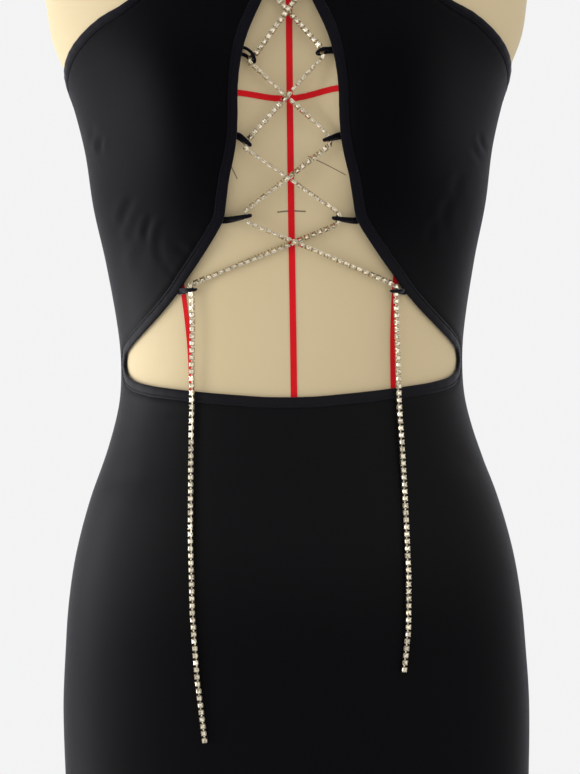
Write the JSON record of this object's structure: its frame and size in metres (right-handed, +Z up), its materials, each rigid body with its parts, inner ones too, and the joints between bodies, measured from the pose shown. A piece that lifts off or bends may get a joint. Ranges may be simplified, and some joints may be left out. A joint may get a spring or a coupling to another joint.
{
  "type": "halter bodycon dress on a limbless dress form",
  "caption": "Black halter bodycon dress with a large keyhole front laced by a stone chain, on a limbless dress form with a pole and flat round base.",
  "frame": {"origin": "centre of the round base's underside", "axes": "+Z up the pole to the neck, -Y out of the dress's front, +X to the viewer's right from the front"},
  "size_m": [0.4, 0.4, 1.505],
  "materials": {
    "dress_jersey": "smooth stretch jersey, soft sheen",
    "binding_jersey": "folded stretch jersey, stitched",
    "stone_chain": "silver cups with clear cut stones",
    "form_cover": "cream cotton cover, matte",
    "form_plate": "cream cotton cover, matte",
    "form_wood": "varnished light wood",
    "stand_iron": "black satin paint"
  },
  "bodies": {
    "root": {"form_torso": "form_cover", "form_neck_cap": "form_wood", "form_arm_plate_left": "form_plate", "form_arm_plate_right": "form_plate", "form_underside": "form_wood", "stand_collar": "stand_iron", "stand_pole": "stand_iron", "stand_base": "stand_iron", "keyhole_binding": "binding_jersey", "neckband": "binding_jersey", "edge_binding": "binding_jersey", "dress_front": "dress_jersey", "dress_back": "dress_jersey", "loop_1_left": "binding_jersey", "loop_1_right": "binding_jersey", "loop_2_left": "binding_jersey", "loop_2_right": "binding_jersey", "loop_3_left": "binding_jersey", "loop_3_right": "binding_jersey", "loop_4_left": "binding_jersey", "loop_4_right": "binding_jersey", "loop_5_left": "binding_jersey", "loop_5_right": "binding_jersey", "lace_a": "stone_chain", "lace_b": "stone_chain"}
  },
  "joints": []
}
